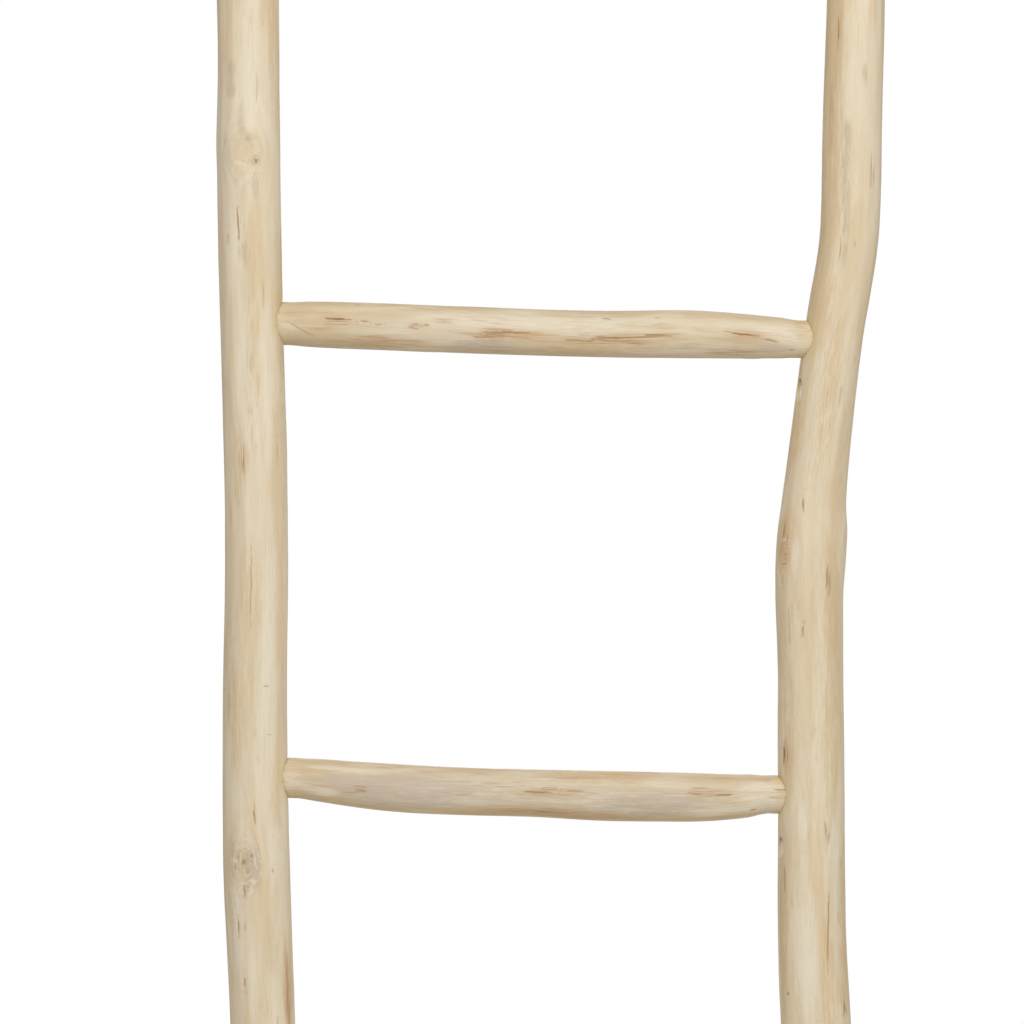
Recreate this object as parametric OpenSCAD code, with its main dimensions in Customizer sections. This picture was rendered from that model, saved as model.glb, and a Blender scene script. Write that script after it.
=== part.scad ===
// Rustic ladder rack, built from peeled branches.
//
// Two crooked stiles stand side by side and carry five rungs, over which towels, blankets or quilts
// are hung. Each rung tapers to a turned tenon at both ends, which is glued into a blind socket in
// the stile and locked by a countersunk screw, driven up at a slant from a pocket below the rung.
// Millimetres, Z up, front towards -Y, origin on the floor midway between the outer faces.

/* [Ladder] */
// Height of the ladder
height = 1500; // [1400:10:1600]
// Distance between the straight lines that the two stiles wander about
stile_spacing = 390; // [370:5:430]
// Size of the stiles' wander sideways and fore and aft, as a share of the real one
crookedness = 1; // [0:0.1:1]

/* [Stiles] */
// Thickness of the stiles, as a share of the real one
stile_thickness = 1; // [0.9:0.05:1.2]
// Rounding of the sawn ends
end_edge = 3; // [1:0.5:5]

/* [Rungs] */
// Thickness of the rungs and their tenons, as a share of the real one
rung_thickness = 1; // [0.9:0.05:1.15]
// How far a tenon reaches past the centre of its stile
tenon_past_centre = 8; // [6:0.5:9]
// Room for glue all round a tenon and past its end
glue_gap = 0.1; // [0.05:0.05:0.3]

/* [Screws] */
// Diameter of a screw over its thread
screw_d = 3.5; // [3:0.5:4]
// Length of a screw, head included
screw_l = 40; // [35:1:42]
// Slant of a screw from the upright
screw_slant = 30; // [28:1:35]
// Height of a rung's centre line above the middle of the pocket's mouth
pocket_drop = 35; // [33:1:38]
// Depth of a screw's head below that mouth, along the screw
head_recess = 9.5; // [6:0.5:12]
// How far each pocket is turned from the stile's inner side, to the front on the right stile and to
// the back on the left one
pocket_turn = 22; // [0:1:30]

/* [Hidden] */
LEFT = 0;
RIGHT = 1;
SIDE_NAMES = ["left", "right"];

nominal_height = 1500;
stile_sides = 20;
stile_step = 20;
rung_sides = 16;
rung_steps = 18;
bore_fn = 48;
overlap = 3; // how far a tenon's cylinder is buried in its rung
shoulder = 0.1; // least step from a rung down to its tenon
clear = 0.05; // room round a screw's shank and under its head
head_d = 2 * screw_d;
head_h = (head_d - screw_d) / 2;
pocket_d = head_d + 0.6;
pocket_reach = 20; // how far a pocket's cutter stands out of the stile
thread_l = 24;
thread_pitch = 1.8;
thread_depth = 0.5;
point_l = 4;
recess_w = 0.9; // of each arm of the cross in the head
recess_h = 1.4;

stile_wood = [0.87, 0.80, 0.69];
rung_wood = [0.83, 0.75, 0.64];
zinc = [0.75, 0.76, 0.77];

// Stations up each stile: height, wander to the right, wander to the back, diameter.
stile_paths = [
  [
    [0, -3, 0, 50], [110, -1, 4, 48.5], [230, 2, 6, 47.5], [350, 5, 5, 46.5], [470, 5, 2, 45],
    [590, 1.5, -1, 43.4], [700, -2.5, -3, 45], [800, -3.5, -4, 43], [900, -2.5, -5, 42.2],
    [980, -3.5, -4.5, 42.4], [1080, -6.5, -3, 42], [1175, -8, 0, 42.6], [1235, -8.2, 2, 41.2],
    [1300, -9, 4, 42], [1370, -8, 5, 41.5], [1440, -5, 4, 40.8], [1500, -2, 2, 40]
  ],
  [
    [0, -8, 0, 51], [110, -5, -4, 49.5], [230, -3, -6, 48.5], [360, -4, -5, 48], [480, -10, -3, 47.8],
    [590, -16.3, 0, 47.2], [660, -19, 2, 45.8], [785, -19.7, 4, 44.7], [830, -19.8, 5, 44],
    [890, -20.5, 5, 45.4], [935, -18.4, 4, 43], [985, -13.2, 2, 40.7], [1045, -5.7, 0, 39.8],
    [1085, 0.6, -1, 40.4], [1110, 4.8, -1.5, 39.8], [1135, 6.7, -2, 39.8], [1200, 8, -3, 39.9],
    [1290, 10.5, -4, 39.2], [1360, 10, -3, 39.2], [1430, 7, -1, 38.6], [1500, 3, 1, 38]
  ]
];

// Knots on each stile: height, bearing round the stile from +X, how far it stands out, half its length.
stile_knots = [
  [[330, 50, 2, 20], [701, -113, 1.2, 18], [1179, -112, 1.6, 20], [1410, 120, 1.5, 18]],
  [[235, -60, 1.6, 20], [620, 100, 1.8, 20], [915, -12, 2.4, 19], [918, -150, 1.2, 20],
   [1335, -160, 1.5, 18]]
];

// Where each rung's ends are, left and right: height, distance behind the stile's centre, and the
// length of turned tenon that shows beside the stile.
rung_ends = [
  [[136, -1, 4], [129, 2, 5]],
  [[447, 2, 5], [441, 0, 4]],
  [[757, 2, 7], [744, -1, 6]],
  [[1062.5, 3, 4], [1050.5, -1, 3]],
  [[1363, 1, 5], [1368, -2, 4]]
];

// Stations along each rung between its tenons: share of the length, rise, wander to the back,
// diameter. The outer two diameters set the tenons too.
rung_paths = [
  [[0, 0, 0, 28], [0.12, 1, -1, 31], [0.3, 3, -2, 33], [0.5, 4, -1, 33], [0.7, 3, 1, 34],
   [0.88, 1, 1, 31.5], [1, 0, 0, 28]],
  [[0, 0, 0, 27], [0.1, -1, 1, 30.5], [0.28, -2, 2, 32.5], [0.45, -1, 2, 34], [0.6, 1, 1, 32.5],
   [0.8, 2, -1, 33], [0.92, 1, 0, 30.5], [1, 0, 0, 27.5]],
  [[0, 0, 0, 27.9], [0.1, -2.7, 0, 30.3], [0.2, -4.5, -1, 32], [0.35, -5.1, -1, 31.7],
   [0.5, -4.6, 0, 31.7], [0.65, -5, 1, 33.8], [0.75, -4.6, 1, 33.6], [0.85, -3.9, 1, 32.4],
   [0.93, -2.5, 0, 29.8], [1, 0, 0, 26.6]],
  [[0, 0, 0, 29.8], [0.1, 0, 0, 31.6], [0.35, -0.5, 1, 31.6], [0.55, -0.8, 1, 31],
   [0.67, -0.1, 0, 31.4], [0.78, 1, -1, 32], [0.9, 0.6, -1, 29.6], [1, 0, 0, 26.2]],
  [[0, 0, 0, 27], [0.12, 1, 1, 30], [0.3, 2, 1, 31.5], [0.5, 1, 0, 32], [0.7, -1, -1, 30.5],
   [0.88, -1, 0, 29.5], [1, 0, 0, 26.5]]
];

RUNG_NUMBERS = [for (i = [0 : len(rung_ends) - 1]) i + 1];

// Value of a smooth curve through p1 and p2 at the share t between them, with p0 and p3 beyond.
// Each p is [place, value].
function slope(a, b) = (b[1] - a[1]) / (b[0] - a[0]);
function smooth(p0, p1, p2, p3, t) =
  let (
    gap = p2[0] - p1[0],
    m1 = slope(p0, p2) * gap,
    m2 = slope(p1, p3) * gap
  )
  p1[1] * (1 - t) * (1 - t) * (1 + 2 * t) + p2[1] * t * t * (3 - 2 * t)
  + m1 * t * (1 - t) * (1 - t) - m2 * t * t * (1 - t);

// Column c of a table of stations, read at a place along it.
function station(table, i, c) = let (k = min(max(i, 0), len(table) - 1)) [table[k][0], table[k][c]];
function read(table, place, c) =
  let (
    k = max([for (i = [0 : len(table) - 2]) if (i == 0 || table[i][0] <= place) i]),
    p0 = k == 0 ? [2 * table[0][0] - table[1][0], table[0][c]] : station(table, k - 1, c),
    p1 = station(table, k, c),
    p2 = station(table, k + 1, c),
    p3 = k + 2 > len(table) - 1 ? [2 * p2[0] - p1[0], p2[1]] : station(table, k + 2, c)
  )
  smooth(p0, p1, p2, p3, (place - p1[0]) / (p2[0] - p1[0]));

// The stile's centre at height z, and its radius there.
function nominal(z) = z * nominal_height / height;
function stile_centre(side, z) = [
  (side == LEFT ? -1 : 1) * stile_spacing / 2 + crookedness * read(stile_paths[side], nominal(z), 1),
  crookedness * read(stile_paths[side], nominal(z), 2),
  z
];
function stile_r(side, z) = stile_thickness * read(stile_paths[side], nominal(z), 3) / 2;

// How far the knots lift the stile's surface at height z and bearing a.
function turn_between(a, b) = let (d = abs(a - b) % 360) min(d, 360 - d);
function knot_lift(side, z, a) = sum_of([
  for (k = stile_knots[side])
    let (up = (nominal(z) - k[0]) / k[3], round_it = turn_between(a, k[1]) / 45)
    k[2] * exp(-(up * up + round_it * round_it))
]);
function sum_of(v, i = 0) = i < len(v) ? v[i] + sum_of(v, i + 1) : 0;

// How far the surface draws in at a distance from a sawn end.
function end_inset(from_end) =
  from_end >= end_edge ? 0 : end_edge - sqrt(end_edge * end_edge - pow(end_edge - from_end, 2));

function stile_heights() = concat(
  [0, 0.3 * end_edge, end_edge],
  [for (z = [stile_step : stile_step : height - stile_step]) z],
  [height - end_edge, height - 0.3 * end_edge, height]
);

function stile_ring(side, z) =
  let (c = stile_centre(side, z), r = stile_r(side, z) - end_inset(min(z, height - z)))
  [
    for (i = [0 : stile_sides - 1])
      let (a = 360 * i / stile_sides, lifted = r + knot_lift(side, z, a))
      c + lifted * [cos(a), sin(a), 0]
  ];

// Skins a stack of rings that all have the same number of points, and closes both ends. The rings
// run anticlockwise as seen from the last one.
module skin(rings) {
  sides = len(rings[0]);
  last = len(rings) - 1;
  walls = [
    for (k = [0 : last - 1], i = [0 : sides - 1])
      let (j = (i + 1) % sides, low = k * sides, high = low + sides)
      each [[low + i, high + i, high + j], [low + i, high + j, low + j]]
  ];
  caps = [[for (i = [0 : sides - 1]) i], [for (i = [sides - 1 : -1 : 0]) last * sides + i]];
  polyhedron(points = [for (ring = rings, p = ring) p], faces = concat(walls, caps), convexity = 6);
}

// The line of rung n runs between its ends. on_rung_line() puts +X along it, with x = 0 at the
// left stile's centre.
function rung_end(n, side) =
  let (end = rung_ends[n - 1][side])
  stile_centre(side, end[0] * height / nominal_height) + [0, end[1], 0];
function rung_length(n) = norm(rung_end(n, RIGHT) - rung_end(n, LEFT));

module on_rung_line(n) {
  v = rung_end(n, RIGHT) - rung_end(n, LEFT);
  translate(rung_end(n, LEFT)) rotate([0, -asin(v.z / norm(v)), atan2(v.y, v.x)]) children();
}

// How far a tenon's shoulder is from its stile's centre, and where that is on the rung's line.
function shoulder_out(n, side) = stile_r(side, rung_end(n, side).z) + rung_ends[n - 1][side][2];
function shoulder_x(n, side) =
  side == LEFT ? shoulder_out(n, LEFT) : rung_length(n) - shoulder_out(n, RIGHT);

function rung_ring(n, share) =
  let (
    table = rung_paths[n - 1],
    x = shoulder_x(n, LEFT) + share * (shoulder_x(n, RIGHT) - shoulder_x(n, LEFT)),
    r = rung_thickness * read(table, share, 3) / 2
  )
  [
    for (i = [0 : rung_sides - 1])
      let (a = 360 * i / rung_sides)
      [x, read(table, share, 2) + r * cos(a), read(table, share, 1) + r * sin(a)]
  ];

// A tenon's cylinder stays just inside the flat sides of the rung's outermost ring.
function tenon_r(n, side) =
  rung_thickness * read(rung_paths[n - 1], side, 3) / 2 * cos(180 / rung_sides) - shoulder;

// The tenons of rung n. room is what a socket has round them and past their ends.
module tenons(n, room = 0) {
  for (side = [LEFT, RIGHT]) {
    inner = shoulder_out(n, side) + overlap;
    outer = tenon_past_centre + room;
    translate([side * rung_length(n), 0, 0]) mirror([side, 0, 0]) rotate([0, 90, 0])
      translate([0, 0, -outer])
        cylinder(r = tenon_r(n, side) + room, h = inner + outer, $fn = bore_fn);
  }
}

// The line of the screw that locks rung n into a stile: +Z points up along the screw, and z = 0 is
// in the middle of the pocket's mouth.
module on_screw_line(n, side) {
  mouth_z = rung_end(n, side).z - pocket_drop;
  translate(stile_centre(side, mouth_z)) rotate([0, 0, pocket_turn + (side == LEFT ? 180 : 0)])
    translate([-stile_r(side, mouth_z), 0, 0]) rotate([0, screw_slant, 0]) children();
}

// The hole round a screw's shank.
module pilot() {
  translate([0, 0, head_recess]) cylinder(d = screw_d + 2 * clear, h = screw_l + 1, $fn = bore_fn);
}

// The pocket below a screw, open to the outside, with a countersunk seat for the head.
module pocket() {
  seat = head_recess - (pocket_d - head_d) / 2 + clear;
  translate([0, 0, -pocket_reach])
    cylinder(d = pocket_d, h = pocket_reach + seat + 0.01, $fn = bore_fn);
  translate([0, 0, seat]) cylinder(d1 = pocket_d, d2 = 0, h = pocket_d / 2, $fn = bore_fn);
}

// Half the outline of a screw: flat head, cone, plain shank, ridged thread and point.
function screw_outline() =
  let (
    r = screw_d / 2,
    core = r - thread_depth,
    thread_from = screw_l - point_l - thread_l,
    turns = floor(thread_l / thread_pitch)
  )
  concat(
    [[0, 0], [head_d / 2, 0], [r, head_h], [r, thread_from]],
    [
      for (t = [0 : turns - 1])
        let (z = thread_from + t * thread_pitch)
        each [[core, z + 0.4], [core, z + thread_pitch - 0.6], [r, z + thread_pitch - 0.1]]
    ],
    [[core, screw_l - point_l], [0, screw_l]]
  );

module screw() {
  recess_l = head_d / 2;
  difference() {
    rotate_extrude($fn = bore_fn) polygon(screw_outline());
    for (turn = [0, 90])
      rotate([0, 0, turn]) translate([-recess_l / 2, -recess_w / 2, -1])
        cube([recess_l, recess_w, 1 + recess_h]);
  }
}

module stile(side) {
  color(stile_wood) difference() {
    skin([for (z = stile_heights()) stile_ring(side, z)]);
    for (n = RUNG_NUMBERS) {
      on_rung_line(n) tenons(n, glue_gap);
      on_screw_line(n, side) {
        pilot();
        pocket();
      }
    }
  }
}

module rung(n) {
  color(rung_wood) difference() {
    on_rung_line(n) {
      skin([for (k = [0 : rung_steps]) rung_ring(n, k / rung_steps)]);
      tenons(n);
    }
    for (side = [LEFT, RIGHT]) on_screw_line(n, side) pilot();
  }
}

module placed_screw(n, side) {
  color(zinc) on_screw_line(n, side) translate([0, 0, head_recess]) screw();
}

for (side = [LEFT, RIGHT]) {
  stile(side);
  for (n = RUNG_NUMBERS)
    placed_screw(n, side);
}
for (n = RUNG_NUMBERS)
  rung(n);
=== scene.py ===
import math

import bpy
import numpy as np
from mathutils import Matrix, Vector


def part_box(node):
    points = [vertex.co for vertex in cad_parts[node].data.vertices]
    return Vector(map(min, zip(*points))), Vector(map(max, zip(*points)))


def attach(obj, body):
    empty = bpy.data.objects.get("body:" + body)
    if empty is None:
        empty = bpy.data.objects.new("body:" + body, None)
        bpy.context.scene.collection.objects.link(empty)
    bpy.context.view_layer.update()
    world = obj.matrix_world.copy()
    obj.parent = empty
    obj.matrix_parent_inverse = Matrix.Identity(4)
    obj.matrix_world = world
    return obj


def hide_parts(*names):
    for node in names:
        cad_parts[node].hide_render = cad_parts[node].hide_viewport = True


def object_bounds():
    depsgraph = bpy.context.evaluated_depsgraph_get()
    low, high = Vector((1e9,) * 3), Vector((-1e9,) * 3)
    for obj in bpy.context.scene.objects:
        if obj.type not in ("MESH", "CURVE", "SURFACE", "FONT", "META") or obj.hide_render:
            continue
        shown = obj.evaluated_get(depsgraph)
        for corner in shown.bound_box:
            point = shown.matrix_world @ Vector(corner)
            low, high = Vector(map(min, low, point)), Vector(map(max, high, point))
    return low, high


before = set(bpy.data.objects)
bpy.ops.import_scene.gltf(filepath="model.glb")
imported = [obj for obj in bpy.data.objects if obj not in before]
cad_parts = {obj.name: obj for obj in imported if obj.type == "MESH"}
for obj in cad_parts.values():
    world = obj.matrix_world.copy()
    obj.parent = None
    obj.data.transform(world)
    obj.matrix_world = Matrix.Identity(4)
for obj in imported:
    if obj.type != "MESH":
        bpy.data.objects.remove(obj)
cad_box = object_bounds()

# Looks of a rustic ladder rack: two crooked stiles and five rungs of peeled branch wood.
#
# Each branch is rebuilt as a fine mesh on the shape of its CAD node, and gets its sockets, screw
# pockets, knots, checks and tool marks. Lengths are in metres. A place on a branch is how far
# along its axis it is, and its bearing: the turn round the axis from the front, to the right on a
# stile and downwards on a rung.

STILES = ("left_stile", "right_stile")
RUNGS = ("rung_1", "rung_2", "rung_3", "rung_4", "rung_5")
SIDES = ("left", "right")
MM = 0.001

EDGE = 3 * MM  # rounding of a stile's sawn ends
GLUE_GAP = 0.1 * MM
SCREW_ROOM = 0.3 * MM  # between a screw's head and its pocket's wall
POCKET_REACH = 20 * MM  # how far a pocket's cutter stands out of the wood
TENON_BLEND = 14 * MM  # length over which a rung's body runs into its tenon
FAR_FROM_SEAM = 50 * MM
IN_STILE = 10 * MM  # a socket has no edge on the stile this close to the rung's end
PAST_SHOULDER = 20 * MM  # how far a socket's cutter runs on along the rung's body
END_FACES = 0.5 * MM  # faces nearer than this to an end show end grain
FRESH_DEPTH = 1.5  # mm; deeper than this is the wall of a socket or pocket
SAW_SINK, SAW_MARKS = 0.15 * MM, 0.12 * MM  # a sawn end's mean depth and its unevenness

# Relief: height, and the size of a wave round the branch and along it.
SWELLS = (0.30 * MM, 14 * MM, 0.09)
FLATS = (0.30 * MM, 8 * MM, 0.16)
RIPPLES = (0.06 * MM, 2.2 * MM, 0.03)
CHECK_DEPTH = 0.20 * MM
SOCKET_DIP, SOCKET_DIP_WIDTH = 0.3 * MM, 1.4 * MM  # the worn edge of the wood round a joint
SHOULDER_CUT, SHOULDER_CUT_WIDTH = 0.12 * MM, 0.5 * MM  # the tool's line where a tenon begins

# Meshes: the gap between rows, and a finer one near knots and joints; the number of columns, and
# the share of them that is at the front.
STILE_ROWS, STILE_COLUMNS = (4.6 * MM, 1.6 * MM), (164, 0.58)
RUNG_ROWS, RUNG_COLUMNS = (1.8 * MM, 0.5 * MM), (120, 0.56)

# Reading the CAD nodes.
SAME_RING = 0.02 * MM  # corners of the CAD mesh closer than this along the axis are in one ring
TRULY_ROUND = 0.05 * MM  # a turned ring's radii differ by less than this
ON_A_CORNER = 0.12  # of the turn from one corner of a ring to the next
CORNERS_LEFT = 0.6  # the share of a ring's corners that a hole may leave of it at least
HEAD_SHARE = 0.12  # of a screw's height, measured upwards from its head's lowest point
RIM_BAND = 0.3 * MM  # a screw's rim is this close to its head's farthest point
END_DISC = 1.5 * MM  # a tenon's flat end is this close to the rung's end

# Large odd numbers that turn whole numbers into random ones: one for each axis, one for the seed,
# and one with a shift for each round of mixing.
MIX_AXES = np.array([374761393, 668265263, 974634777])
MIX_SEED = 362437
MIX_ROUNDS = ((13, 1274126177), (16, 2246822519))
KEPT_BITS = 0xFFFFFFFF


# -------- noise and curves

def hashed(cells, seed):
    """A random number from -1 to 1 for each row of whole numbers."""
    n = ((cells * MIX_AXES).sum(-1) + seed * MIX_SEED) & KEPT_BITS
    for shift, factor in MIX_ROUNDS:
        n = ((n ^ (n >> shift)) * factor) & KEPT_BITS
    return ((n ^ (n >> 15)) & 0xFFFFFF) / 0x7FFFFF - 1


def noise(points, seed):
    """Smooth random values from -1 to 1, about one wave for each two units."""
    low = np.floor(points).astype(np.int64)
    t = points - low
    t = t * t * t * (t * (6 * t - 15) + 10)
    total = np.zeros(points.shape[:-1])
    for corner in np.ndindex(2, 2, 2):
        share = np.prod(np.where(corner, t, 1 - t), axis=-1)
        total += share * hashed(low + np.array(corner), seed)
    return total


def fractal(points, seed, octaves):
    """Noise with finer and fainter noise added."""
    return sum(noise(points * 2.1**k, seed + k) * 0.5**k for k in range(octaves))


def eased(x):
    """0 below 0, 1 above 1, and smooth between."""
    x = np.clip(x, 0, 1)
    return x * x * (3 - 2 * x)


def along_curve(stations, values, at):
    """Values at each place in at, on a smooth curve through those at the stations."""
    slopes = np.gradient(values, stations, axis=0)
    k = np.clip(np.searchsorted(stations, at, side="right") - 1, 0, len(stations) - 2)
    gap = (stations[k + 1] - stations[k])[:, None]
    t = (at - stations[k])[:, None] / gap
    return (
        values[k] * (1 + 2 * t) * (1 - t) ** 2
        + values[k + 1] * t * t * (3 - 2 * t)
        + slopes[k] * gap * t * (1 - t) ** 2
        - slopes[k + 1] * gap * t * t * (1 - t)
    )


def spread(start, end, step, fine_step, spots):
    """Places from start to end, a step apart, and a fine step apart near each (spot, reach)."""
    places = [start]
    while places[-1] < end:
        near = min([(abs(places[-1] - spot) - reach) / reach for spot, reach in spots] + [1])
        places.append(places[-1] + fine_step + (step - fine_step) * float(eased(near)))
    places = np.array(places)
    return start + (places - start) * (end - start) / (places[-1] - start)


# -------- shapes read from the CAD nodes

def read_vectors(items, attribute="co"):
    """One row for each vertex or face of a mesh."""
    values = np.empty(len(items) * 3)
    items.foreach_get(attribute, values)
    return values.reshape(-1, 3)


def node_points(name):
    """The corners of a CAD node's mesh, each of them once."""
    return np.unique(read_vectors(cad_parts[name].data.vertices).round(6), axis=0)


class Branch:
    """The shape of one CAD branch: its own axis, its centre line and the radius round it.

    The CAD solid is a stack of rings with an even number of corners. A ring's radius is kept as
    a sum of waves round the branch, so that it can be read at any bearing.
    """

    def __init__(self, name, start, end, corners):
        self.name = name
        self.start = Vector(start)
        axis = (Vector(end) - self.start).normalized()
        front = (Vector((0, -1, 0)) - axis * axis.y * -1).normalized()
        self.rows = np.array([front, axis.cross(front), axis])
        self.length = (Vector(end) - self.start).length
        self.read_rings(corners)

    def local(self, points):
        """Points in the branch's own axes: towards the front, towards bearing 90, and along."""
        return (points - np.array(self.start)) @ self.rows.T

    def world(self, points):
        return np.array(self.start) + points @ self.rows

    def read_rings(self, corners):
        """Keeps each ring's centre and waves, and the radii of the two tenons."""
        points = self.local(node_points(self.name))
        stations, centres, waves = [], [], []
        tenon_radii = []
        points = points[points[:, 2].argsort()]
        layers = np.split(points, np.flatnonzero(np.diff(points[:, 2]) > SAME_RING) + 1)
        for ring in (layer for layer in layers if len(layer) > corners / 2):
            level = ring[:, 2].mean()
            sums = np.column_stack([2 * ring[:, :2], np.ones(len(ring))])
            x, y, _ = np.linalg.lstsq(sums, (ring[:, :2] ** 2).sum(1), rcond=None)[0]
            radii = np.hypot(ring[:, 0] - x, ring[:, 1] - y)
            if len(ring) > 2 * corners and np.ptp(radii) < TRULY_ROUND:
                tenon_radii.append(radii.mean())
                continue
            if min(level, self.length - level) < EDGE * 0.9 and not tenon_radii:
                continue  # part of a stile's rounded end
            turns = np.arctan2(ring[:, 1] - y, ring[:, 0] - x) / (2 * math.pi) * corners
            whole = np.abs(turns - turns.round()) < ON_A_CORNER
            corner = turns.round().astype(int) % corners
            if len(set(corner[whole])) < corners * CORNERS_LEFT:
                continue  # the rim of a hole, and not a ring
            radius = np.array([max(radii[whole & (corner == k)], default=0) for k in range(corners)])
            radius[radius == 0] = np.median(radii[whole])
            stations.append(level)
            centres.append((x, y))
            waves.append(np.fft.rfft(radius) / corners)
        self.stations, self.centres, self.waves = map(np.array, (stations, centres, waves))
        # each wave stands for itself and its mirror image, apart from the first and the last
        self.wave_shares = np.where(np.arange(corners // 2 + 1) % (corners // 2) == 0, 1, 2)
        self.tenon_radii = tenon_radii

    def centre(self, along):
        """The centre line's offset from the axis, towards the front and to bearing 90."""
        flat = along_curve(self.stations, self.centres, np.clip(along.ravel(), *self.body_span()))
        return flat.reshape(*along.shape, 2)

    def radius(self, along, bearing):
        inside = np.clip(along.ravel(), *self.body_span())
        waves = along_curve(self.stations, self.waves, inside) * self.wave_shares
        phases = np.exp(1j * np.outer(bearing.ravel(), np.arange(waves.shape[1])))
        return (waves * phases).sum(1).real.reshape(along.shape)

    def end_of(self, side):
        """The middle of the end that is in the stile on one side."""
        return np.array(self.start) if side == "left" else self.world(np.array([0, 0, self.length]))

    def body_span(self):
        """Where the rings say what the shape is: a stile's whole length, or between the tenons."""
        room = 0 if self.tenon_radii else EDGE
        return self.stations[0] - room, self.stations[-1] + room

    def place(self, along, bearing, radius):
        """Points at a radius round the centre line."""
        middle = self.centre(along)
        across = np.stack([np.cos(bearing), np.sin(bearing)], -1) * radius[..., None]
        return self.world(np.concatenate([middle + across, along[..., None]], -1))

    def find(self, points):
        """How far along, the bearing and the distance from the centre line of points."""
        local = self.local(points)
        offset = local[:, :2] - self.centre(local[:, 2])
        return local[:, 2], np.arctan2(offset[:, 1], offset[:, 0]), np.hypot(*offset.T)


def stile_branch(name):
    low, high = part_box(name)
    return Branch(name, (0, 0, low.z), (0, 0, high.z), corners=20)


def rung_branch(name):
    """A rung's own axis runs through the middles of its tenons' flat ends."""
    points = node_points(name)
    ends = []
    for end in (points[:, 0].min(), points[:, 0].max()):
        disc = points[np.abs(points[:, 0] - end) < END_DISC]
        ends.append((disc.min(0) + disc.max(0)) / 2)
    return Branch(name, *ends, corners=16)


class Screw:
    """A screw's tip, its head's middle and radius, its length, and the direction it was driven in."""

    def __init__(self, name):
        points = node_points(name)
        low, high = points[:, 2].min(), points[:, 2].max()
        self.tip = Vector(points[points[:, 2].argmax()])
        head = points[points[:, 2] < low + (high - low) * HEAD_SHARE]
        away = np.array([(Vector(p) - self.tip).length for p in head])
        rim = head[away > away.max() - RIM_BAND]
        self.head = Vector((rim.min(0) + rim.max(0)) / 2)
        self.drive = (self.tip - self.head).normalized()
        self.head_r = max((Vector(p) - self.head).length for p in rim)
        self.length = (self.tip - self.head).length


# -------- knots, checks and stains

# Knots: along, bearing in degrees, half the width and half the length in mm, how far the rim
# stands out in mm, and how dark.
KNOTS = {
    "left_stile": [
        (1.177, -1, 12, 14, 0.35, 0.50), (0.701, -20, 8, 12, 0.30, 0.75),
        (0.330, 140, 7, 11, 0.6, 0.8), (1.410, -150, 6, 9, 0.5, 0.8), (0.520, 60, 4, 6, 0.3, 0.6),
    ],
    "right_stile": [
        (0.915, 78, 8, 13, 0.1, 0.25), (0.904, -50, 6, 9, 0.2, 0.50), (0.235, 30, 6, 9, 0.5, 0.7),
        (0.620, -170, 7, 10, 0.6, 0.9), (1.335, -70, 5, 8, 0.4, 0.7), (1.120, 150, 4, 7, 0.3, 0.6),
    ],
    "rung_1": [(0.120, 20, 4, 6, 0.3, 0.8), (0.290, -120, 5, 7, 0.4, 0.8)],
    "rung_2": [(0.250, -30, 4, 7, 0.3, 0.7), (0.160, 130, 5, 7, 0.4, 0.9)],
    "rung_3": [(0.255, 150, 4, 6, 0.3, 0.8), (0.180, -95, 3, 5, 0.2, 0.5)],
    "rung_4": [(0.345, 110, 4, 6, 0.3, 0.7), (0.130, -150, 4, 7, 0.3, 0.8)],
    "rung_5": [(0.200, 10, 4, 6, 0.3, 0.7), (0.330, -160, 4, 6, 0.3, 0.8)],
}

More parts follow.
